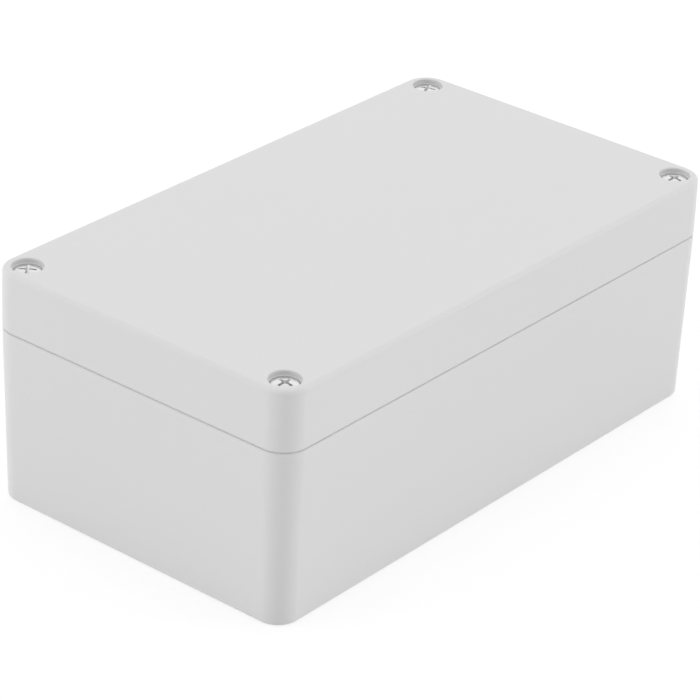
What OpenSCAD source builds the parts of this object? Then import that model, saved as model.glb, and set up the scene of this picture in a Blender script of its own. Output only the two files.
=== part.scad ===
// Sealed plastic project box: a deep base and a shallow lid that close on a rubber cord,
// held together by four self-tapping pan-head screws in the corners.
// Origin: middle of the underside. X runs along the box, Y across it, Z up.

/* [Box] */
// Outside length, at the joint between base and lid
box_length = 158; // [125:0.5:220]
// Outside width, at the joint between base and lid
box_width = 90; // [75:0.5:150]
// Height with the lid on
box_height = 60; // [48:0.1:110]
// Height of the lid alone
lid_height = 15.5; // [13:0.1:20]
// Radius of the upright corners, at the joint
corner_radius = 6.6; // [5.5:0.1:12]
// How far each side of the base leans in from its rim to its foot
base_taper = 0.9; // [0.2:0.05:1.5]
// How far each side of the lid leans in from the joint to the top
lid_taper = 0.1; // [0.05:0.05:0.4]
// Round along the lid's top edge
top_edge_radius = 1.2; // [0.4:0.1:2]
// Round along the foot of the base
foot_edge_radius = 0.8; // [0.4:0.1:2]
// Small bevel that both rims carry at the joint
rim_bevel = 0.2; // [0.1:0.05:0.5]
// Height of the gap that shows outside, between lid and base
joint_gap = 0.3; // [0.1:0.05:0.6]

/* [Walls] */
// Thickness of the side walls
wall = 3; // [2.8:0.1:4]
// Thickness of the base's floor
floor_thickness = 3; // [2:0.1:4]
// Thickness of the lid's top
lid_thickness = 3; // [2.6:0.1:4]
// Round between the walls and the floor inside
inner_edge_radius = 1; // [0.3:0.1:1.5]
// Radius of the inside corners of the base, at its rim
inner_corner_radius = 3.6; // [2.5:0.1:6]
// How far each inside wall of the lid leans in
lid_inner_taper = 0.2; // [0.05:0.05:0.4]

/* [Seal] */
// Width of the tongue that stands on the base's rim
tongue_width = 1.2; // [1:0.1:1.6]
// Height of the tongue
tongue_height = 5.5; // [3:0.1:7]
// Clearance between the tongue and each side of the lid's groove
tongue_clearance = 0.4; // [0.2:0.05:0.6]
// Height of the rubber cord as the closed lid squeezes it
cord_height = 1.5; // [1:0.1:2.5]
// Clearance between the cord and each side of the groove
cord_clearance = 0.1; // [0.05:0.05:0.3]
// Thickness of the rib on the inner side of the groove
groove_rib = 1.4; // [1:0.1:2]
// Width of the lid's rim that meets the base, between the groove and the gap outside
joint_land = 0.4; // [0.3:0.05:0.8]

/* [Lid screws] */
// Distance from each outer side to a screw's axis
screw_inset = 6.1; // [5.5:0.1:9]
// Diameter of the pan head
head_diameter = 6.7; // [5.5:0.1:7.5]
// Height of the pan head
head_height = 2.4; // [1.8:0.1:3]
// Core diameter of the screw, under its thread
screw_core = 2.7; // [2.2:0.1:3]
// Length of the screw under its head
screw_length = 25; // [20:0.5:30]
// Clearance round the head in its recess
head_clearance = 0.5; // [0.3:0.05:0.6]
// Depth from the lid's top to the seat of the head
seat_depth = 3.2; // [2:0.1:5]
// Clearance hole through the lid
clearance_hole = 4; // [3.6:0.1:4.6]
// Pilot hole in the base's pillar, before the screw cuts its thread
pilot_hole = 2.9; // [2.8:0.1:3.2]
// Diameter of the pillars that take the screws
pillar_diameter = 8.4; // [7:0.1:10.5]
// Wall of the lid's tubes round the screw heads
well_wall = 1.2; // [0.8:0.1:2]
// How far each screw stopped turned, from the corner at -X -Y round to -X +Y
screw_turns = [87, 83, 20, 37]; // [0:1:89]

/* [Wall fixing] */
// Diameter of the fixing holes in the floor
fixing_hole = 4.3; // [3.2:0.1:5]
// Diameter of a fixing screw's head
fixing_head = 8; // [6:0.1:9.6]
// Clearance round that head at the floor of a corner pocket
fixing_clearance = 0.3; // [0.1:0.05:1]

/* [Board standoffs] */
// Distance between standoffs along X
standoff_pitch_x = 116; // [60:0.5:170]
// Distance between standoffs along Y
standoff_pitch_y = 66; // [30:0.5:125]
// Height of the standoffs over the floor
standoff_height = 5; // [3:0.5:10]
// Diameter at the top of a standoff
standoff_diameter = 6; // [5:0.1:8]
// Pilot hole in each standoff
standoff_hole = 2.5; // [2:0.1:3.2]

/* [Hidden] */
$fn = 48;

// Flats in a quarter turn of a round edge.
outer_round_steps = 8;
inner_round_steps = 4;
dome_steps = 6;

half_length = box_length / 2;
half_width = box_width / 2;
rim_z = box_height - lid_height;

// Corner pockets: each lies between the outer walls and a step of the inner wall.
pocket_radius = 2.2;
pocket_taper = 0.4;
fixing_room = fixing_head / 2 + fixing_clearance + pocket_taper;
fixing_inset_x = wall + fixing_room;
fixing_inset_y = screw_inset + pillar_diameter / 2 + fixing_room;
pocket_width = 2 * fixing_room;
pocket_length = fixing_inset_y + fixing_room - wall;
step_x = wall + pocket_width + wall;
step_y = wall + pocket_length + wall;
step_radius = 4;

// Seal line: the middle of the tongue, which follows the inner wall round the pockets.
seal_x = half_length - wall + tongue_width / 2;
seal_y = half_width - wall + tongue_width / 2;
seal_step_x = half_length - step_x + tongue_width / 2;
seal_step_y = half_width - step_y + tongue_width / 2;
seal_outer_radius = inner_corner_radius + tongue_width / 2;
seal_step_radius = step_radius - tongue_width / 2;

// How far a step's section reaches past the crossing, as a share of both its radii.
crossing_share = 0.6;

groove_half = tongue_width / 2 + tongue_clearance;
groove_depth = tongue_height + cord_height;
rib_face = groove_half + groove_rib;

// The lid's rim, outward from the groove: it meets the base, then steps up to the gap
// that shows. The base's rim has the bevel alone.
joint_gap_depth = wall - tongue_width - tongue_clearance - joint_land;
LID_RIM = [[-joint_gap_depth, 0], [-joint_gap_depth, joint_gap],
           [-rim_bevel, joint_gap], [0, joint_gap + rim_bevel]];
BASE_RIM = [[-rim_bevel, 0], [0, rim_bevel]];

recess_diameter = head_diameter + 2 * head_clearance;
mouth_bevel = 0.2;
seat_z = box_height - seat_depth;
screw_tip_z = seat_z - screw_length;
pilot_spare = 1.5;
hole_overrun = 1;

standoff_flare = 0.4;
standoff_hole_floor = 1.5;

light_grey = "#dcdcdc";
rubber_black = "#2b2b2b";
nickel = "#c9c8c4";

// The four corners, in order from -X -Y round to -X +Y, as signs of X and Y.
CORNERS = [[-1, -1], [1, -1], [1, 1], [-1, 1]];

// ---------- shared shapes ----------

// Points along a round stretch of an outline.
function arc(centre, radius, from, to, steps) =
    [for (i = [0:steps]) let (a = from + (to - from) * i / steps)
        centre + radius * [cos(a), sin(a)]];

// Section of a moulded side: x runs outward from middle_x to the side's face at face_x,
// and y from the rim to the far face. The side leans in by taper and ends in a round of
// radius edge, made of the given number of flats. The points of rim are measured from
// the foot of the face.
function side_section(middle_x, face_x, taper, height, edge, steps, rim = [[0, 0]]) =
    let (lean = atan(taper / height),
         edge_x = face_x - taper - edge * (1 - sin(lean)) / cos(lean))
    concat([[middle_x, 0]],
           [for (point = rim) [face_x + point.x, point.y]],
           arc([edge_x, height - edge], edge, lean, 90, steps),
           [[middle_x, height]]);

// Repeats its children in the four quarters of the plan.
module in_each_quarter() {
    for (flip_x = [0, 1], flip_y = [0, 1])
        mirror([flip_x, 0, 0]) mirror([0, flip_y, 0]) children();
}

// A block with round upright corners and leaning sides. Its rim is at z = 0.
module tapered_block(half_x, half_y, radius, taper, height, edge, steps,
                     rim = [[0, 0]]) {
    section = side_section(0, radius, taper, height, edge, steps, rim);
    middle_x = half_x - radius;
    middle_y = half_y - radius;
    translate([-middle_x, -middle_y, 0])
        cube([2 * middle_x, 2 * middle_y, height]);
    in_each_quarter() {
        straight_along_y(middle_x, 0, middle_y) polygon(section);
        outer_turn(middle_x, middle_y, 0) polygon(section);
        straight_along_x(middle_y, 0, middle_x) polygon(section);
    }
}

// Carries its first child round the stepped line of the inner wall. The line lies out
// from the middle by x and y, steps in to step_at_x and step_at_y at each corner, and
// turns with radius turn outside and step_turn at the step. The last child serves the
// step's turn. In a child, x runs outward from the line and y is up.
module round_the_wall(x, y, step_at_x, step_at_y, turn, step_turn) {
    in_each_quarter() {
        straight_along_y(x, 0, step_at_y - turn) children(0);
        outer_turn(x - turn, step_at_y - turn, turn) children(0);
        straight_along_x(step_at_y, step_at_x + step_turn, x - turn) children(0);
        inner_turn(step_at_x + step_turn, step_at_y + step_turn, step_turn)
            children($children - 1);
        straight_along_y(step_at_x, step_at_y + step_turn, y - turn) children(0);
        outer_turn(step_at_x - turn, y - turn, turn) children(0);
        straight_along_x(y, 0, step_at_x - turn) children(0);
    }
}

module straight_along_y(x, from, to) {
    translate([x, to, 0]) rotate([90, 0, 0]) linear_extrude(to - from) children();
}

module straight_along_x(y, from, to) {
    translate([from, y, 0]) rotate([90, 0, 90]) linear_extrude(to - from) children();
}

module outer_turn(x, y, radius) {
    translate([x, y, 0]) rotate_extrude(angle = 90) translate([radius, 0]) children();
}

module inner_turn(x, y, radius) {
    translate([x, y, 0]) rotate([0, 0, 180])
        rotate_extrude(angle = 90) translate([radius, 0]) mirror([1, 0]) children();
}

// The same line, offset outward by a distance from the seal line.
module along_seal(outward = 0) {
    round_the_wall(seal_x + outward, seal_y + outward,
                   seal_step_x + outward, seal_step_y + outward,
                   seal_outer_radius + outward, seal_step_radius - outward) {
        children(0);
        children($children - 1);
    }
}

// The room inside the stepped wall, with its rim at z = 0. The wall's face lies outward
// of the seal line by the given distance and leans in by taper over the height. The two
// blocks in the middle cross at each step, and the section there reaches past the crossing.
module inner_room(outward, taper, height) {
    face = seal_outer_radius + outward;
    reach = (seal_step_radius + seal_outer_radius) * crossing_share;
    for (half = [[seal_x, seal_step_y], [seal_step_x, seal_y]])
        translate([seal_outer_radius - half.x, seal_outer_radius - half.y, 0])
            cube([2 * (half.x - seal_outer_radius), 2 * (half.y - seal_outer_radius),
                  height]);
    along_seal(-seal_outer_radius) {
        room_section(0, face, taper, height);
        room_section(-reach, face, taper, height);
    }
}

module room_section(middle_x, face_x, taper, height) {
    polygon(side_section(middle_x, face_x, taper, height,
                         inner_edge_radius, inner_round_steps));
}

module at_screws() {
    for (corner = CORNERS)
        translate([corner.x * (half_length - screw_inset),
                   corner.y * (half_width - screw_inset), 0])
            children();
}

module at_pockets() {
    for (corner = CORNERS)
        translate([corner.x * (half_length - wall - pocket_width / 2),
                   corner.y * (half_width - wall - pocket_length / 2), 0])
            children();
}

// A corner pocket, with its rim at z = 0.
module pocket(height) {
    tapered_block(pocket_width / 2, pocket_length / 2, pocket_radius,
                  pocket_taper, height, inner_edge_radius, inner_round_steps);
}

// ---------- base ----------

module base() {
    color(light_grey) difference() {
        union() {
            translate([0, 0, rim_z]) mirror([0, 0, 1]) base_shell();
            translate([0, 0, rim_z]) along_seal() tongue_section();
            at_screws() screw_pillar();
            at_standoffs() standoff();
        }
        at_screws() pilot();
        at_standoffs() standoff_pilot();
        at_fixings() fixing();
    }
}

// Upside down: the rim at z = 0 and the floor above.
module base_shell() {
    difference() {
        tapered_block(half_length, half_width, corner_radius, base_taper, rim_z,
                      foot_edge_radius, outer_round_steps, BASE_RIM);
        inner_room(tongue_width / -2, base_taper, rim_z - floor_thickness);
        at_pockets() pocket(rim_z - floor_thickness);
    }
}

// The tongue narrows a little and has a flat tip with bevelled edges.
module tongue_section() {
    foot = tongue_width / 2;
    draft = 0.1;
    tip = foot - draft;
    bevel = 0.25;
    polygon([[-foot, 0], [foot, 0], [tip, tongue_height - bevel],
             [tip - bevel, tongue_height], [bevel - tip, tongue_height],
             [-tip, tongue_height - bevel]]);
}

module screw_pillar() {
    translate([0, 0, floor_thickness / 2])
        cylinder(d = pillar_diameter, h = rim_z - floor_thickness / 2);
}

module pilot() {
    translate([0, 0, screw_tip_z - pilot_spare])
        cylinder(d = pilot_hole, h = rim_z - screw_tip_z + pilot_spare + hole_overrun);
}

module at_standoffs() {
    for (corner = CORNERS)
        translate([corner.x * standoff_pitch_x / 2, corner.y * standoff_pitch_y / 2, 0])
            children();
}

module standoff() {
    radius = standoff_diameter / 2;
    translate([0, 0, floor_thickness / 2])
        cylinder(r1 = radius + standoff_flare, r2 = radius,
                 h = floor_thickness / 2 + standoff_height);
}

module standoff_pilot() {
    translate([0, 0, standoff_hole_floor])
        cylinder(d = standoff_hole, h = floor_thickness + standoff_height);
}

module at_fixings() {
    for (corner = CORNERS)
        translate([corner.x * (half_length - fixing_inset_x),
                   corner.y * (half_width - fixing_inset_y), 0])
            children();
}

module fixing() {
    translate([0, 0, -hole_overrun])
        cylinder(d = fixing_hole, h = floor_thickness + 2 * hole_overrun);
}

// ---------- lid ----------

module lid() {
    color(light_grey) translate([0, 0, rim_z]) difference() {
        union() {
            difference() {
                tapered_block(half_length, half_width, corner_radius, lid_taper,
                              lid_height, top_edge_radius, outer_round_steps,
                              LID_RIM);
                inner_room(-rib_face, lid_inner_taper, lid_height - lid_thickness);
                at_pockets() pocket(lid_height - lid_thickness);
                along_seal() groove_section();
            }
            at_screws() screw_well();
        }
        at_screws() screw_recess();
    }
}

module groove_section() {
    polygon([[-groove_half, 0], [groove_half, 0],
             [groove_half, groove_depth], [-groove_half, groove_depth]]);
}

// The tube that carries a screw from the lid's top down to the pillar.
module screw_well() {
    cylinder(d = recess_diameter + 2 * well_wall, h = lid_height - lid_thickness / 2);
}

module screw_recess() {
    translate([0, 0, -hole_overrun])
        cylinder(d = clearance_hole, h = lid_height);
    translate([0, 0, lid_height - seat_depth])
        cylinder(d = recess_diameter, h = seat_depth + hole_overrun);
    translate([0, 0, lid_height - mouth_bevel])
        cylinder(d1 = recess_diameter, d2 = recess_diameter + 4 * mouth_bevel,
                 h = 2 * mouth_bevel);
}

// ---------- gasket ----------

// Rubber cord at the root of the groove, squeezed flat by the tongue.
module gasket() {
    color(rubber_black)
        translate([0, 0, rim_z + tongue_height]) along_seal() cord_section();
}

module cord_section() {
    half = groove_half - cord_clearance;
    round = cord_height / 3;
    polygon(concat(arc([half - round, round], round, -90, 0, inner_round_steps),
                   arc([half - round, cord_height - round], round, 0, 90,
                       inner_round_steps),
                   arc([round - half, cord_height - round], round, 90, 180,
                       inner_round_steps),
                   arc([round - half, round], round, 180, 270, inner_round_steps)));
}

// ---------- lid screws ----------

module lid_screws() {
    color(nickel)
        for (i = [0:3])
            translate([CORNERS[i].x * (half_length - screw_inset),
                       CORNERS[i].y * (half_width - screw_inset), seat_z])
                rotate([0, 0, screw_turns[i]]) lid_screw();
}

// A pan-head screw with its seat at z = 0. Its thread is not drawn.
module lid_screw() {
    point_length = 2.2;
    point_diameter = 0.6;
    difference() {
        rotate_extrude() pan_head_section();
        cross_recess();
    }
    translate([0, 0, point_length - screw_length])
        cylinder(d = screw_core, h = screw_length - point_length);
    translate([0, 0, -screw_length])
        cylinder(d1 = point_diameter, d2 = screw_core, h = point_length);
}

// Half of the head: a short upright side, then a round shoulder that runs into a low dome.
module pan_head_section() {
    radius = head_diameter / 2;
    shoulder = 0.4;
    dome_radius = 16;
    shoulder_x = radius - shoulder;
    lean = asin(shoulder_x / (dome_radius - shoulder));
    dome_y = head_height - dome_radius;
    side = dome_y + (dome_radius - shoulder) * cos(lean);
    polygon(concat([[0, 0], [radius, 0]],
                   arc([shoulder_x, side], shoulder, 0, 90 - lean, outer_round_steps),
                   [for (i = [1:dome_steps - 1]) let (a = lean * (1 - i / dome_steps))
                       [dome_radius * sin(a), dome_y + dome_radius * cos(a)]],
                   [[0, head_height]]));
}

// Two crossing slots that narrow towards the bottom.
module cross_recess() {
    slot = 1;
    span_share = 0.62;
    reach = head_diameter * span_share / 2;
    root = 0.7;
    depth = 1.8;
    for (turn = [0, 90])
        rotate([90, 0, turn]) translate([0, 0, -slot / 2])
            linear_extrude(slot)
                polygon([[-root, head_height - depth], [root, head_height - depth],
                         [reach, head_height], [reach, head_height + hole_overrun],
                         [-reach, head_height + hole_overrun], [-reach, head_height]]);
}

base();
lid();
gasket();
lid_screws();
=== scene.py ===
# %% [markdown]
# # A plastic project box
#
# The object is a plain sealed box for electronics: a deep grey base, a shallow grey lid,
# a rubber cord between them and four bright screws in the corners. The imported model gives
# every solid its place, and this script gives each one its finish, its light and its
# view. All lengths are in metres.

import math

import bmesh
import bpy
from mathutils import Matrix, Vector


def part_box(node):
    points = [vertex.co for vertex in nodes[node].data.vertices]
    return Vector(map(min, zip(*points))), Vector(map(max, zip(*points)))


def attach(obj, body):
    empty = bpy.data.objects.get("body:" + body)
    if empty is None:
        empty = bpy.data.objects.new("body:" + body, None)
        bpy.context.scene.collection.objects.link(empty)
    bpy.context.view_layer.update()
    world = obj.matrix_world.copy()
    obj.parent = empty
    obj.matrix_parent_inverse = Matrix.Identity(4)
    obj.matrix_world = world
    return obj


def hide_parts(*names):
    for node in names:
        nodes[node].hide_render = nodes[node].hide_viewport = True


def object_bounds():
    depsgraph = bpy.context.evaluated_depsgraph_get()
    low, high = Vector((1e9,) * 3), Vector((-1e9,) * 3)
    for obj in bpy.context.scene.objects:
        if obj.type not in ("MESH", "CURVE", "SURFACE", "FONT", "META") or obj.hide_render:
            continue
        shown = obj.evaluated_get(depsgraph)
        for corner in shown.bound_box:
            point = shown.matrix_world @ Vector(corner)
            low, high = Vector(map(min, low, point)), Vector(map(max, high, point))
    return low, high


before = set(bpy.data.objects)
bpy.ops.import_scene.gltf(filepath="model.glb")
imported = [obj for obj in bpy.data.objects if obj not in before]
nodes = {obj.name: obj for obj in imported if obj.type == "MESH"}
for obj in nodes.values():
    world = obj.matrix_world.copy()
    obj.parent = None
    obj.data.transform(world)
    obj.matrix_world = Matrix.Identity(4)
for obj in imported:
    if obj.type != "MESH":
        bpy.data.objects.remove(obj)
cad_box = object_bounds()
MM = 0.001
X_AXIS, Y_AXIS, Z_AXIS = Vector((1, 0, 0)), Vector((0, 1, 0)), Vector((0, 0, 1))

scene = bpy.context.scene
for name in sorted(nodes):
    low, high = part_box(name)
    print(name, [round((b - a) / MM, 2) for a, b in zip(low, high)], "mm")

# %% [markdown]
# ## Small helpers
#
# Colours are easiest to choose as the hex values that a screen shows, but light adds up
# in linear numbers, so one function turns the first into the second. Another adds a
# shader node with its settings and its links in one line, which keeps each material
# readable, and a third blends two colours. Meshes are built as a bmesh, which is easy to
# change, so the second cell has what every such mesh needs: its count of open edges, its
# shading, and the steps that make it plain mesh data and an object.

# %% Helpers for colours and shader nodes
def linear(hex_colour):
    """An sRGB hex colour as linear red, green, blue and alpha."""
    values = [int(hex_colour[i:i + 2], 16) / 255 for i in (1, 3, 5)]
    return (*[v / 12.92 if v <= 0.04045 else ((v + 0.055) / 1.055) ** 2.4
              for v in values], 1.0)


def add(tree, kind, links=(), inputs=(), **settings):
    """Adds a node to a tree, sets its fields and inputs, and links sockets into it."""
    node = tree.nodes.new(kind)
    for key, value in settings.items():
        setattr(node, key, value)
    for key, value in dict(inputs).items():
        node.inputs[key].default_value = value
    for key, socket in dict(links).items():
        tree.links.new(socket, node.inputs[key])
    return node


def new_material(name):
    """An empty node material and its node tree."""
    material = bpy.data.materials.new(name)
    material.use_nodes = True
    material.node_tree.nodes.clear()
    return material, material.node_tree


def blend(tree, factor, low_tone, high_tone):
    """A colour that goes from one hex tone to another as factor goes from 0 to 1."""
    mix = add(tree, "ShaderNodeMix", data_type="RGBA", links={"Factor": factor})
    mix.inputs["A"].default_value = linear(low_tone)
    mix.inputs["B"].default_value = linear(high_tone)
    return mix.outputs["Result"]


print("light grey #dcdcdc is", [round(v, 3) for v in linear("#dcdcdc")[:3]])

# %% Helpers for meshes and objects
MERGE_DISTANCE = 0.0005 * MM
SHARPEST_SMOOTH = math.radians(30)


def open_edges(mesh):
    """How many edges don't join exactly two faces. A closed solid has none."""
    return sum(not edge.is_manifold for edge in mesh.edges)


def shade_smooth(mesh):
    """Shades a mesh smooth and leaves its true corners sharp."""
    for face in mesh.faces:
        face.smooth = True
    for edge in mesh.edges:
        edge.smooth = edge.calc_face_angle(0) < SHARPEST_SMOOTH


def as_data(mesh, name):
    """Plain mesh data with the shape of a bmesh, which is freed."""
    data = bpy.data.meshes.new(name)
    mesh.to_mesh(data)
    mesh.free()
    return data


def put_in_scene(name, data):
    """A new object in the scene."""
    thing = bpy.data.objects.new(name, data)
    scene.collection.objects.link(thing)
    return thing


print("points nearer than", MERGE_DISTANCE / MM, "mm are joined")

# %% [markdown]
# ## The camera
#
# A catalogue picture of a small box is taken with a long lens from a little over one
# front corner, so its upright edges stay almost parallel. The camera's place, the way it
# looks and the slight roll of the picture are set as numbers, and its two other axes
# follow from them.

# %% Camera
CAMERA_PLACE = Vector((-0.5574, -0.4462, 0.4023))
CAMERA_LOOKS = Vector((0.6888, 0.5541, -0.4676)).normalized()
CAMERA_ROLL_RISE = 0.03799  # how much the picture's right-hand direction climbs
CAMERA_LENS_MM = 171.97     # for a 36 mm wide sensor


def aim(place, looks, rise=0.0):
    """A camera or lamp matrix at a place, looking along a direction."""
    level = looks.cross(Z_AXIS).normalized()
    above = level.cross(looks)
    roll = math.asin(rise / above.z) if rise else 0.0
    right = level * math.cos(roll) + above * math.sin(roll)
    up = right.cross(looks)
    turn = Matrix((right, up, -looks)).transposed()
    return Matrix.Translation(place) @ turn.to_4x4()


camera_data = bpy.data.cameras.new("camera")
camera_data.sensor_width = 36
camera_data.lens = CAMERA_LENS_MM
camera_data.clip_start = 0.01
camera_data.clip_end = 50
camera = put_in_scene("camera", camera_data)
camera.matrix_world = aim(CAMERA_PLACE, CAMERA_LOOKS, CAMERA_ROLL_RISE)
scene.camera = camera
print("camera", round(CAMERA_PLACE.length, 3), "m from the box's foot")

# %% [markdown]
# ## Floor and world
#
# The floor is plain white paper. To the camera and in reflections it is a greyer paper
# with a glow of its own, so that the bare floor reaches white while a soft shadow beside
# the box still shows. Light that bounces from the floor to the box comes from the plain
# white paper only. The world is white to the camera and in reflections. As a source of
# light it is a little dimmer, and dimmer still on the side where the camera stands, as in
# a studio whose white walls end there. That dim side makes the box's near corner a shade
# darker than its two faces. The floor has a window just smaller than the box's foot, so
# that the underside can be seen and is lit from below. The box hides it from every other
# side.

# %% Floor and world
FLOOR_SIZE = 12.0
FLOOR_DROP = 0.02 * MM        # keeps the paper clear of the underside
WINDOW_INSET, WINDOW_CORNER, WINDOW_CORNER_STEPS = 2.3 * MM, 5.8 * MM, 8
FLOOR_COLOUR = "#f0f0f0"
FLOOR_SEEN_COLOUR = "#9a9a9a"
FLOOR_GLOW = 0.72
WORLD_LIGHT = 0.9
DIM_SIDE = (-0.7071, -0.7071, 0.0)  # the direction in which the studio is darkest
DIM_SIDE_LIGHT = 0.47
DIM_STARTS, DIM_IS_FULL = 0.2, 0.95  # how nearly a direction points there: 1 is straight at it


def seen_ray(tree):
    """1 for rays that show the background: from the camera, in gloss or through glass."""
    path = add(tree, "ShaderNodeLightPath")
    gloss = add(tree, "ShaderNodeMath", operation="MAXIMUM",
                links={0: path.outputs["Is Camera Ray"], 1: path.outputs["Is Glossy Ray"]})
    return add(tree, "ShaderNodeMath", operation="MAXIMUM",
               links={0: gloss.outputs[0], 1: path.outputs["Is Transmission Ray"]}).outputs[0]


def make_floor():
    """The sheet of paper, a grid of nine faces whose middle one is left out as the window."""
    material, tree = new_material("white studio paper")
    plain = add(tree, "ShaderNodeBsdfDiffuse", inputs={"Color": linear(FLOOR_COLOUR)})
    dim = add(tree, "ShaderNodeBsdfDiffuse", inputs={"Color": linear(FLOOR_SEEN_COLOUR)})
    glow = add(tree, "ShaderNodeEmission", inputs={"Strength": FLOOR_GLOW})
    seen = add(tree, "ShaderNodeAddShader", links={0: dim.outputs[0], 1: glow.outputs[0]})
    mix = add(tree, "ShaderNodeMixShader",
              links={0: seen_ray(tree), 1: plain.outputs[0], 2: seen.outputs[0]})
    add(tree, "ShaderNodeOutputMaterial", links={"Surface": mix.outputs[0]})

    mesh = bmesh.new()
    bmesh.ops.create_grid(mesh, x_segments=3, y_segments=3, size=FLOOR_SIZE / 2)
    middle = [v for v in mesh.verts if max(abs(v.co.x), abs(v.co.y)) < FLOOR_SIZE / 4]
    for v in middle:
        v.co.x = math.copysign(cad_box[1].x - WINDOW_INSET, v.co.x)
        v.co.y = math.copysign(cad_box[1].y - WINDOW_INSET, v.co.y)
    window = [f for f in mesh.faces if all(v in middle for v in f.verts)]
    bmesh.ops.delete(mesh, geom=window, context="FACES_ONLY")
    bmesh.ops.bevel(mesh, geom=middle, offset=WINDOW_CORNER, segments=WINDOW_CORNER_STEPS,
                    profile=0.5, affect="VERTICES", material=-1)
    bmesh.ops.translate(mesh, vec=(0, 0, -FLOOR_DROP), verts=mesh.verts[:])
    floor = put_in_scene("floor", as_data(mesh, "floor"))
    floor.data.materials.append(material)


def make_world():
    """White to the eye, and as a light dimmer towards DIM_SIDE."""
    world = bpy.data.worlds.new("white studio")
    world.use_nodes = True
    tree = world.node_tree
    tree.nodes.clear()
    direction = add(tree, "ShaderNodeTexCoord").outputs["Generated"]
    facing = add(tree, "ShaderNodeVectorMath", operation="DOT_PRODUCT",
                 links={0: direction}, inputs={1: DIM_SIDE})
    light = add(tree, "ShaderNodeMapRange", interpolation_type="SMOOTHSTEP",
                links={"Value": facing.outputs["Value"]},
                inputs={"From Min": DIM_STARTS, "From Max": DIM_IS_FULL,
                        "To Min": WORLD_LIGHT, "To Max": DIM_SIDE_LIGHT})
    strength = add(tree, "ShaderNodeMapRange", inputs={"To Max": 1.0},
                   links={"Value": seen_ray(tree), "To Min": light.outputs[0]})
    back = add(tree, "ShaderNodeBackground", inputs={"Color": (1, 1, 1, 1)},
               links={"Strength": strength.outputs[0]})
    add(tree, "ShaderNodeOutputWorld", links={"Surface": back.outputs[0]})
    scene.world = world


make_floor()
make_world()
scene.view_settings.view_transform = "Standard"
print("floor", FLOOR_SIZE, "m wide, world light", WORLD_LIGHT)

# %% [markdown]
# ## Lamps
#
# Most of the light comes from the white room, which keeps every edge soft. Two low
# softboxes, left and right of the box and turned well away from the corner nearest the
# camera, lift the two near faces a little above that corner. Strong lamps would draw a
# bright line along each rounded edge, so these are weak. Seen along the lid they would
# hide it in glare, so they don't show in gloss. A third, overhead, lifts the lid, and a
# faint one behind the box shines in the domes of the screw heads. Each lamp's power comes
# from the light it should give at the box, so lamps can be moved without changing the
# exposure.

# %% Softboxes
LAMP_DISTANCE = 4.0
LAMP_TARGET = Vector((0, 0, 30 * MM))
SIDE_SIZE, SIDE_LEVEL = 1.6, 0.25
OVERHEAD_SIZE, OVERHEAD_LEVEL = 2.4, 0.085
BEHIND_SIZE, BEHIND_LEVEL = 2.0, 0.014


def softbox(name, direction, size, level):
    """A square lamp aimed at the box. level is the brightness of a white card there."""
    data = bpy.data.lights.new(name, "AREA")
    data.shape = "RECTANGLE"
    data.size = data.size_y = size
    data.energy = level * math.pi ** 2 * LAMP_DISTANCE ** 2
    lamp = put_in_scene(name, data)
    direction = Vector(direction).normalized()
    lamp.matrix_world = aim(LAMP_TARGET + direction * LAMP_DISTANCE, -direction)
    print(name, round(data.energy, 2), "W")
    return lamp


for lamp in (softbox("softbox left", (-1.0, 0.85, 0.18), SIDE_SIZE, SIDE_LEVEL),
             softbox("softbox right", (0.85, -1.0, 0.18), SIDE_SIZE, SIDE_LEVEL)):
    lamp.visible_glossy = False
softbox("softbox overhead", (0.05, 0.05, 1.0), OVERHEAD_SIZE, OVERHEAD_LEVEL)
softbox("softbox behind", (0.78, 0.62, 0.45), BEHIND_SIZE, BEHIND_LEVEL)

# %% [markdown]
# ## Light grey ABS
#
# The base and lid are injection-moulded ABS, the common tough plastic of housings. The
# mould is spark-eroded, which leaves a fine even grain: the plastic looks satin, with
# soft wide highlights and no clear reflections. The grain of such a mould is about 0.1 mm
# across, too fine to see from this far, so it is drawn about 0.3 mm wide and very
# shallow. A slow, faint change of tone stands for the way the melt cools, and the gloss
# varies with it. The plastic's IOR is about 1.54.

# %% ABS material
CLOUD_SIZE = 28 * MM
GRAIN_SIZE, GRAIN_DEPTH = 0.3 * MM, 0.01 * MM
ABS_DARKER, ABS_LIGHTER = "#dbdbdb", "#dddddd"


def make_abs():
    """Satin plastic with a fine grain and very faint clouds of tone and gloss."""
    material, tree = new_material("moulded light grey ABS")
    place = add(tree, "ShaderNodeTexCoord").outputs["Object"]
    clouds = add(tree, "ShaderNodeTexNoise", links={"Vector": place},
                 inputs={"Scale": 1 / CLOUD_SIZE, "Detail": 3, "Roughness": 0.5})
    grain = add(tree, "ShaderNodeTexNoise", links={"Vector": place},
                inputs={"Scale": 1 / GRAIN_SIZE, "Detail": 2, "Roughness": 0.6})
    tone = blend(tree, clouds.outputs["Fac"], ABS_DARKER, ABS_LIGHTER)
    gloss = add(tree, "ShaderNodeMapRange", links={"Value": clouds.outputs["Fac"]},
                inputs={"From Min": 0.3, "From Max": 0.7, "To Min": 0.42, "To Max": 0.50})
    bump = add(tree, "ShaderNodeBump", links={"Height": grain.outputs["Fac"]},
               inputs={"Strength": 0.25, "Distance": GRAIN_DEPTH})
    plastic = add(tree, "ShaderNodeBsdfPrincipled", inputs={"IOR": 1.54},
                  links={"Base Color": tone, "Roughness": gloss.outputs[0],
                         "Normal": bump.outputs[0]})
    add(tree, "ShaderNodeOutputMaterial", links={"Surface": plastic.outputs[0]})
    return material


abs_plastic = make_abs()
print("ABS:", abs_plastic.name)

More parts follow.
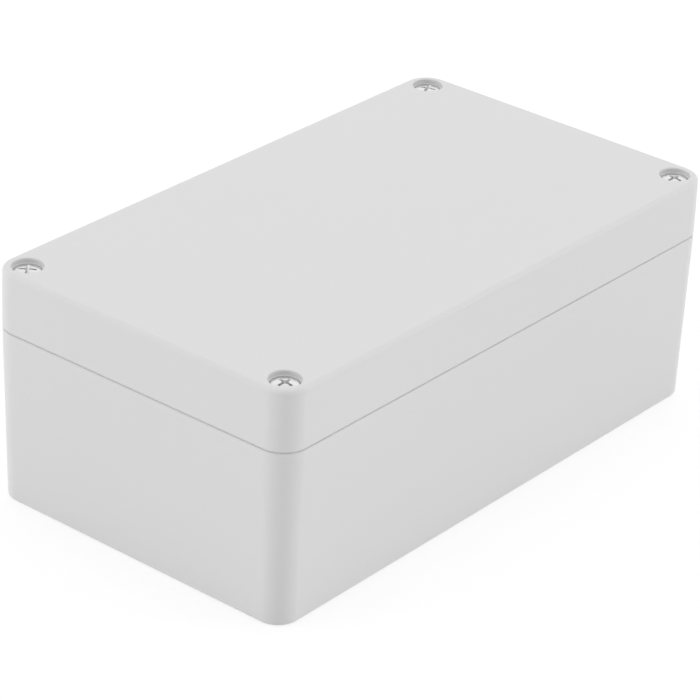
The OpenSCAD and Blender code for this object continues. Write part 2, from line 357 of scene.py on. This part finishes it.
# %% [markdown]
# ## The shelf in each screw recess
#
# A recess in the lid has two steps: a close-fitting well for the head, and a wider mouth
# above it that ends in a narrow flat shelf. The shelf catches the light as a thin bright
# line round the head. One way to make it is to cut two cylinders from the lid. Here the
# recess is already cut at its full width, so a ring is added instead: its section is
# drawn beside the screw's axis and spun round it. The screws' axes are half a head inside
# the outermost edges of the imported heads, and the seat is one screw's length above the
# lowest point.

# %% Rings under the shelves
HEAD_DIAMETER, SCREW_LENGTH = 6.7 * MM, 25 * MM
RECESS_DIAMETER = 7.7 * MM
RING_STEPS = 96               # flats in one turn
SHELF_WIDTH, SHELF_DEPTH, SHELF_EDGE = 0.44 * MM, 1.15 * MM, 0.05 * MM
RING_HOLD = 0.1 * MM          # how far a ring reaches into the plastic that it joins

screws_low, screws_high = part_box("lid_screws")
axis_x, axis_y = screws_high.x - HEAD_DIAMETER / 2, screws_high.y - HEAD_DIAMETER / 2
seat_z = screws_low.z + SCREW_LENGTH
lid_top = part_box("lid")[1].z


def shelf_rings():
    """Four closed rings, one in each recess, as one mesh."""
    inner = RECESS_DIAMETER / 2 - SHELF_WIDTH
    outer = RECESS_DIAMETER / 2 + RING_HOLD
    low, high = seat_z - RING_HOLD, lid_top - SHELF_DEPTH
    section = [(inner, low), (inner, high - SHELF_EDGE), (inner + SHELF_EDGE, high),
               (outer, high), (outer, low)]
    mesh = bmesh.new()
    for side_x in (-1, 1):
        for side_y in (-1, 1):
            centre = Vector((side_x * axis_x, side_y * axis_y, 0))
            ring = [mesh.verts.new(centre + Vector((r, 0, z))) for r, z in section]
            loop = [mesh.edges.new((ring[i - 1], ring[i])) for i in range(len(ring))]
            bmesh.ops.spin(mesh, geom=ring + loop, cent=centre, axis=Z_AXIS,
                           angle=2 * math.pi, steps=RING_STEPS, use_merge=True,
                           use_duplicate=False)
    bmesh.ops.remove_doubles(mesh, verts=mesh.verts[:], dist=MERGE_DISTANCE)
    bmesh.ops.recalc_face_normals(mesh, faces=mesh.faces[:])
    return as_data(mesh, "shelf rings")


shelves = shelf_rings()
print("four rings:", len(shelves.polygons), "faces")

# %% [markdown]
# ## The step in the joint's gap
#
# Lid and base leave a narrow gap between their rims, and a step in the plastic closes it
# a short way in. Light still reaches the step, so the joint shows as a soft grey line and
# not as a black one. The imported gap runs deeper, so a flat band is added to the base's
# rim. It fills the inner part of the gap: four outlines of the rim, moved in and up by
# different amounts, are joined by faces into one closed frame.

# %% Band in the joint's gap
RIM_CORNER, CORNER_STEPS = 6.6 * MM, 16  # the upright corners' radius, and flats in each
GAP_HEIGHT, STEP_DEPTH, GAP_DEPTH = 0.3 * MM, 0.4 * MM, 1.0 * MM
BAND_CLEARANCE = 0.01 * MM    # keeps the band clear of the lid
BAND_HOLD = 0.1 * MM          # how far the band reaches down into the base

rim_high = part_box("base")[1]
rim_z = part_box("lid")[0].z


def rim_outline(inset, z):
    """Points round the rim, moved in from its outer face by inset."""
    points = []
    for quarter, (side_x, side_y) in enumerate(((1, 1), (-1, 1), (-1, -1), (1, -1))):
        centre = Vector((side_x * (rim_high.x - RIM_CORNER),
                         side_y * (rim_high.y - RIM_CORNER), z))
        for step in range(CORNER_STEPS + 1):
            angle = math.pi / 2 * (quarter + step / CORNER_STEPS)
            points.append(centre + (RIM_CORNER - inset)
                          * Vector((math.cos(angle), math.sin(angle), 0)))
    return points


def joint_band():
    """The closed frame that lies in the inner part of the joint's gap."""
    low, high = rim_z - BAND_HOLD, rim_z + GAP_HEIGHT - BAND_CLEARANCE
    inner = GAP_DEPTH - BAND_CLEARANCE
    mesh = bmesh.new()
    loops = [[mesh.verts.new(point) for point in rim_outline(inset, z)]
             for inset, z in ((STEP_DEPTH, low), (STEP_DEPTH, high), (inner, high),
                              (inner, low))]
    for last, loop in zip(loops[-1:] + loops[:-1], loops):
        for i in range(len(loop)):
            mesh.faces.new((last[i - 1], last[i], loop[i], loop[i - 1]))
    bmesh.ops.recalc_face_normals(mesh, faces=mesh.faces[:])
    return as_data(mesh, "joint band")


band = joint_band()
print("joint band:", len(band.polygons), "faces")

# %% [markdown]
# ## Smooth shells
#
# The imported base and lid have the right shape, but every triangle stands alone, so each
# flat of a round shows as a band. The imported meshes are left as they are, and copies
# stand for them. In a copy the triangles are joined at their corners, a boolean unites
# the base with its band or the lid with its rings into one skin, the faces are shaded
# smooth and only true corners stay sharp. A Weighted Normal modifier then lets the large
# flat faces keep their own direction, so that only the rounds between them look curved.

# %% Smooth copies of the base and the lid
def merged_copy(name, source):
    """A new object with a copy of a mesh whose triangles are joined at their corners."""
    mesh = bmesh.new()
    mesh.from_mesh(source)
    bmesh.ops.remove_doubles(mesh, verts=mesh.verts[:], dist=MERGE_DISTANCE)
    return put_in_scene(name, as_data(mesh, name))


def unite(shell, addition):
    """Adds the solids of a mesh to a shell, which stays one closed skin."""
    tool = merged_copy("addition", addition)
    union = shell.modifiers.new("add", "BOOLEAN")
    union.operation, union.solver, union.object = "UNION", "EXACT", tool
    bpy.context.view_layer.update()
    graph = bpy.context.evaluated_depsgraph_get()
    data = bpy.data.meshes.new_from_object(shell.evaluated_get(graph))
    shell.modifiers.clear()
    data.name = shell.name
    shell.data = data
    bpy.data.objects.remove(tool)


def finish_shell(shell, node, material):
    """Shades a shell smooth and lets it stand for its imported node."""
    mesh = bmesh.new()
    mesh.from_mesh(shell.data)
    bmesh.ops.remove_doubles(mesh, verts=mesh.verts[:], dist=MERGE_DISTANCE)
    for face in mesh.faces:
        face.material_index = 0
    shade_smooth(mesh)
    gaps = open_edges(mesh)
    volume = mesh.calc_volume() / MM ** 3
    mesh.to_mesh(shell.data)
    mesh.free()
    shell.data.materials.clear()
    shell.data.materials.append(material)
    weighted = shell.modifiers.new("flat faces keep their direction", "WEIGHTED_NORMAL")
    weighted.keep_sharp = True
    weighted.weight = 100
    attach(shell, "root")
    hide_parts(node)
    print(shell.name, len(shell.data.polygons), "faces,", round(volume), "mm3, open edges:",
          gaps)


for node, addition in (("base", band), ("lid", shelves)):
    nodes[node].data.materials.clear()
    nodes[node].data.materials.append(abs_plastic)
    shell = merged_copy("moulded_" + node, nodes[node].data)
    unite(shell, addition)
    finish_shell(shell, node, abs_plastic)

# %% [markdown]
# ## Black rubber
#
# The cord between base and lid is neoprene, extruded and left matt. Its bloom makes it
# uneven: dark grey patches on near black.

# %% Rubber material
BLOOM_SIZE, BLOOM_DEPTH = 2 * MM, 0.02 * MM
RUBBER_DARKER, RUBBER_LIGHTER = "#242424", "#343433"


def make_rubber():
    """Matt rubber with patches of bloom."""
    material, tree = new_material("black neoprene rubber")
    place = add(tree, "ShaderNodeTexCoord").outputs["Object"]
    bloom = add(tree, "ShaderNodeTexNoise", links={"Vector": place},
                inputs={"Scale": 1 / BLOOM_SIZE, "Detail": 4, "Roughness": 0.6})
    tone = blend(tree, bloom.outputs["Fac"], RUBBER_DARKER, RUBBER_LIGHTER)
    rough = add(tree, "ShaderNodeMapRange", links={"Value": bloom.outputs["Fac"]},
                inputs={"To Min": 0.6, "To Max": 0.8})
    bump = add(tree, "ShaderNodeBump", links={"Height": bloom.outputs["Fac"]},
               inputs={"Strength": 0.3, "Distance": BLOOM_DEPTH})
    rubber = add(tree, "ShaderNodeBsdfPrincipled", inputs={"IOR": 1.52},
                 links={"Base Color": tone, "Roughness": rough.outputs[0],
                        "Normal": bump.outputs[0]})
    add(tree, "ShaderNodeOutputMaterial", links={"Surface": rubber.outputs[0]})
    return material


nodes["gasket"].data.materials.clear()
nodes["gasket"].data.materials.append(make_rubber())
print("rubber on the cord")

# %% [markdown]
# ## Bright nickel
#
# The screws are steel with a thin bright nickel plate: a pale, almost neutral metal. They
# were cold-headed, so the head is smooth but not a mirror, and handling has left it a
# little uneven. Inside the driver's recess the punch left the steel rough, so the recess
# gets a duller, rougher version of the same metal. Its tone is painted a little paler: a
# painted lift of light against the shade in the recess, which sees less of the white room.
# A metal needs only its colour and its roughness.

# %% Nickel materials
MARK_SIZE, MARK_DEPTH = 0.5 * MM, 0.01 * MM


def make_nickel(name, low_tone, high_tone, low_rough, high_rough):
    """Nickel plate whose marks vary its tone, its roughness and its surface."""
    material, tree = new_material(name)
    place = add(tree, "ShaderNodeTexCoord").outputs["Object"]
    marks = add(tree, "ShaderNodeTexNoise", links={"Vector": place},
                inputs={"Scale": 1 / MARK_SIZE, "Detail": 4, "Roughness": 0.6})
    tone = blend(tree, marks.outputs["Fac"], low_tone, high_tone)
    rough = add(tree, "ShaderNodeMapRange", links={"Value": marks.outputs["Fac"]},
                inputs={"From Min": 0.3, "From Max": 0.7,
                        "To Min": low_rough, "To Max": high_rough})
    bump = add(tree, "ShaderNodeBump", links={"Height": marks.outputs["Fac"]},
               inputs={"Strength": 0.3, "Distance": MARK_DEPTH})
    metal = add(tree, "ShaderNodeBsdfPrincipled", inputs={"Metallic": 1.0},
                links={"Base Color": tone, "Roughness": rough.outputs[0],
                       "Normal": bump.outputs[0]})
    add(tree, "ShaderNodeOutputMaterial", links={"Surface": metal.outputs[0]})
    return material


nickel = make_nickel("bright nickel-plated steel", "#d6d6d6", "#e0e0e0", 0.16, 0.28)
# The recess's tones are painted paler than the head's, a painted lift of light against its
# shade.
recess_nickel_painted_paler = make_nickel("dull nickel in the driver's recess", "#dcdcdc", "#e8e8e8",
                            0.35, 0.5)
print("nickel:", nickel.name, "and", recess_nickel_painted_paler.name)

# %% [markdown]
# ## The shape of one screw
#
# The lid is held by four self-tapping pan-head screws, 3.5 mm thick and 25 mm long. The
# whole outline, from the middle of the dome down to the point, is one line turned round
# the screw's axis. The line itself can be typed in as a list of points, but a spin draws
# the arcs exactly: a single point turned about the dome's centre leaves the dome behind
# it, and a second, tighter turn makes the shoulder. The shank then grows by extruding the
# last point, and one full spin about the axis gives the solid.

# %% Turned blank of a screw
HEAD_HEIGHT = 2.4 * MM
DOME_RADIUS, SHOULDER_RADIUS = 16 * MM, 0.4 * MM
CORE_RADIUS, CREST_RADIUS = 1.35 * MM, 1.75 * MM
POINT_LENGTH, TIP_RADIUS = 2.2 * MM, 0.3 * MM
ARC_STEPS, TURN_STEPS = 8, 72  # flats in each arc of the outline, and in one turn
TURN_MERGE = 0.001 * MM        # joins the points that the turn leaves on the axis


def turn_point(mesh, point, centre, angle, steps):
    """Turns a point about an axis along Y, leaves its arc as edges, gives the new end."""
    made = bmesh.ops.spin(mesh, geom=[point], cent=centre, axis=Y_AXIS, angle=angle,
                          steps=steps, use_merge=False, use_duplicate=False)
    return next(v for v in made["geom_last"] if isinstance(v, bmesh.types.BMVert))


def draw_to(mesh, point, place):
    """Extrudes a point to a new place and gives the new end."""
    made = bmesh.ops.extrude_vert_indiv(mesh, verts=[point])
    made["verts"][0].co = place
    return made["verts"][0]


def turned_blank(mesh):
    """The screw's outline, spun into a closed solid with its seat at z = 0."""
    shoulder_x = HEAD_DIAMETER / 2 - SHOULDER_RADIUS
    lean = math.asin(shoulder_x / (DOME_RADIUS - SHOULDER_RADIUS))
    dome_centre = Vector((0, 0, HEAD_HEIGHT - DOME_RADIUS))
    shoulder_z = dome_centre.z + (DOME_RADIUS - SHOULDER_RADIUS) * math.cos(lean)

    end = mesh.verts.new((0, 0, HEAD_HEIGHT))
    end = turn_point(mesh, end, dome_centre, lean, ARC_STEPS)
    end = turn_point(mesh, end, Vector((shoulder_x, 0, shoulder_z)), math.pi / 2 - lean,
                     ARC_STEPS)
    for place in ((HEAD_DIAMETER / 2, 0, 0), (CORE_RADIUS, 0, 0),
                  (CORE_RADIUS, 0, POINT_LENGTH - SCREW_LENGTH),
                  (TIP_RADIUS, 0, -SCREW_LENGTH), (0, 0, -SCREW_LENGTH)):
        end = draw_to(mesh, end, place)
    bmesh.ops.spin(mesh, geom=mesh.verts[:] + mesh.edges[:], cent=(0, 0, 0), axis=Z_AXIS,
                   angle=2 * math.pi, steps=TURN_STEPS, use_merge=True,
                   use_duplicate=False)
    bmesh.ops.remove_doubles(mesh, verts=mesh.verts[:], dist=TURN_MERGE)
    bmesh.ops.recalc_face_normals(mesh, faces=mesh.faces[:])


blank = bmesh.new()
turned_blank(blank)
print("blank:", len(blank.faces), "faces, open edges:", open_edges(blank))
blank.free()

# %% [markdown]
# ## The cross recess
#
# A cold-heading punch leaves the cross that the driver fits. Its four wings narrow
# towards the bottom and the corners between them are cut away. A boolean with a cross-
# shaped cutter would do it, but its result is untidy on a dome. Here the dome is sliced
# along the cross's outline, the faces inside become one, an inset gives the outline its
# worn edge, and the face is pushed down while its points move in towards the axis.

# %% Cross recess
WING_WIDTH, WING_REACH = 0.82 * MM, 2.15 * MM
FLUTE_REACH = 1.2 * MM        # where the cut corners between the wings cross the diagonals
WING_ROOT, RECESS_DEPTH = 0.72 * MM, 1.8 * MM
RECESS_EDGE = 0.06 * MM
RECESS_POINT = 0.25 * MM      # how far the middle of the recess lies below its floor
FLOOR_SHARE = 0.6             # the part of a wing's width that is left at the bottom
SLICED_FROM = 0.8 * HEAD_HEIGHT  # the slices leave all faces below this as they are
FACING_UP = 0.5               # upward part of a face's direction, at least


def in_the_cross(place):
    """Whether a place on the dome lies inside the outline of the cross."""
    near, far = sorted((abs(place.x), abs(place.y)))
    return (near < WING_WIDTH / 2 and far < WING_REACH) or near + far < FLUTE_REACH


def sink(distance):
    """Where a point of the outline lies at the bottom of the recess, along one axis."""
    half, size = WING_WIDTH / 2, abs(distance)
    if size <= half:
        return distance * FLOOR_SHARE
    share = (size - half) / (WING_REACH - half)
    root = FLOOR_SHARE * half
    return math.copysign(root + share * (WING_ROOT - root), distance)


def punch_cross(mesh):
    """Sinks the cross into the dome and gives its faces the second material."""
    slices = [(axis, side * reach) for axis in (X_AXIS, Y_AXIS)
              for side in (-1, 1) for reach in (WING_WIDTH / 2, WING_REACH)]
    slices += [(Vector((1, way, 0)).normalized(), side * FLUTE_REACH / math.sqrt(2))
               for way in (-1, 1) for side in (-1, 1)]
    for normal, distance in slices:
        dome = [f for f in mesh.faces if f.calc_center_median().z > SLICED_FROM]
        edges = {e for f in dome for e in f.edges}
        verts = {v for f in dome for v in f.verts}
        bmesh.ops.bisect_plane(mesh, geom=dome + list(edges) + list(verts),
                               dist=MERGE_DISTANCE, plane_co=normal * distance,
                               plane_no=normal)
    inside = [f for f in mesh.faces
              if f.normal.z > FACING_UP and in_the_cross(f.calc_center_median())]
    cross = bmesh.ops.dissolve_faces(mesh, faces=inside, use_verts=False)["region"]
    bmesh.ops.inset_region(mesh, faces=cross, thickness=RECESS_EDGE, depth=-RECESS_EDGE,
                           use_even_offset=True)
    bright = set(mesh.faces) - set(cross)
    pushed = bmesh.ops.extrude_face_region(mesh, geom=cross)["geom"]
    floor = [f for f in pushed if isinstance(f, bmesh.types.BMFace)]
    for v in {v for f in floor for v in f.verts}:
        v.co = (sink(v.co.x), sink(v.co.y), HEAD_HEIGHT - RECESS_DEPTH)
    bmesh.ops.delete(mesh, geom=[f for f in cross if f.is_valid and f not in floor],
                     context="FACES_ONLY")
    bmesh.ops.poke(mesh, faces=floor, offset=-RECESS_POINT)
    for face in mesh.faces:
        face.material_index = 0 if face in bright else 1


blank = bmesh.new()
turned_blank(blank)
punch_cross(blank)
print("punched:", len(blank.faces), "faces, open edges:", open_edges(blank))
blank.free()

# %% [markdown]
# ## The thread
#
# A self-tapping screw has a coarse, sharp thread that cuts its own way into the plastic.
# Its ridge is a small four-sided section wound down the shank: a spin that also drops a
# little at each step. Scaling the ridge towards the axis lets it fade out under the head
# and follow the point.

# %% Thread
THREAD_PITCH, THREAD_TOP = 1.3 * MM, -1.2 * MM
THREAD_STEPS = 24             # flats in one turn
ROOT_HALF, CREST_HALF = 0.28 * MM, 0.05 * MM
RIDGE_HOLD = 0.05 * MM        # how far the ridge reaches into the shank


def wind_thread(mesh):
    """Winds the ridge round the shank from under the head to the point."""
    inner = CORE_RADIUS - RIDGE_HOLD
    corners = [(inner, ROOT_HALF), (CREST_RADIUS, CREST_HALF),
               (CREST_RADIUS, -CREST_HALF), (inner, -ROOT_HALF)]
    ring = [mesh.verts.new((x, 0, THREAD_TOP + z)) for x, z in corners]
    loop = [mesh.edges.new((ring[i - 1], ring[i])) for i in range(4)]
    old = set(mesh.verts) - set(ring)
    steps = int((SCREW_LENGTH + THREAD_TOP - 2 * ROOT_HALF) / THREAD_PITCH * THREAD_STEPS)
    bmesh.ops.spin(mesh, geom=ring + loop, cent=(0, 0, 0), axis=Z_AXIS,
                   dvec=(0, 0, -THREAD_PITCH / THREAD_STEPS),
                   angle=-2 * math.pi * steps / THREAD_STEPS, steps=steps,
                   use_merge=False, use_duplicate=False)
    bmesh.ops.holes_fill(mesh, edges=[e for e in mesh.edges if e.is_boundary], sides=4)
    for v in mesh.verts:
        if v in old:
            continue
        radius = math.hypot(v.co.x, v.co.y)
        share = min(max((v.co.z + SCREW_LENGTH) / POINT_LENGTH, 0), 1)
        fade = min(max((THREAD_TOP - v.co.z) / THREAD_PITCH, 0), 1)
        core = TIP_RADIUS + (CORE_RADIUS - TIP_RADIUS) * share
        wanted = core + (radius - CORE_RADIUS) * share * fade
        v.co.x *= wanted / radius
        v.co.y *= wanted / radius
    bmesh.ops.recalc_face_normals(mesh, faces=mesh.faces[:])


# %% [markdown]
# ## Four screws in their corners
#
# Each screw stopped wherever its driver let go, so the four crosses point different ways.
# The screws are separate pieces, on the axes found above.

# %% Screws
SCREW_TURNS = {"left_front": (-1, -1, 87), "right_front": (1, -1, 83),
               "right_back": (1, 1, 20), "left_back": (-1, 1, 37)}


def make_screw(name, place, turn):
    """One whole screw at its place, with its cross turned by so many degrees."""
    mesh = bmesh.new()
    turned_blank(mesh)
    punch_cross(mesh)
    wind_thread(mesh)
    shade_smooth(mesh)
    bmesh.ops.transform(mesh, matrix=Matrix.Translation(place)
                        @ Matrix.Rotation(math.radians(turn), 4, "Z"), verts=mesh.verts[:])
    screw = put_in_scene(name, as_data(mesh, name))
    screw.data.materials.append(nickel)
    screw.data.materials.append(recess_nickel_painted_paler)
    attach(screw, "root")
    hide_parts("lid_screws")
    return screw


for name, (side_x, side_y, turn) in SCREW_TURNS.items():
    screw = make_screw("lid_screw_" + name,
                       Vector((side_x * axis_x, side_y * axis_y, seat_z)), turn)
    print(screw.name, len(screw.data.polygons), "faces at",
          [round(v / MM, 2) for v in (side_x * axis_x, side_y * axis_y, seat_z)], "mm")
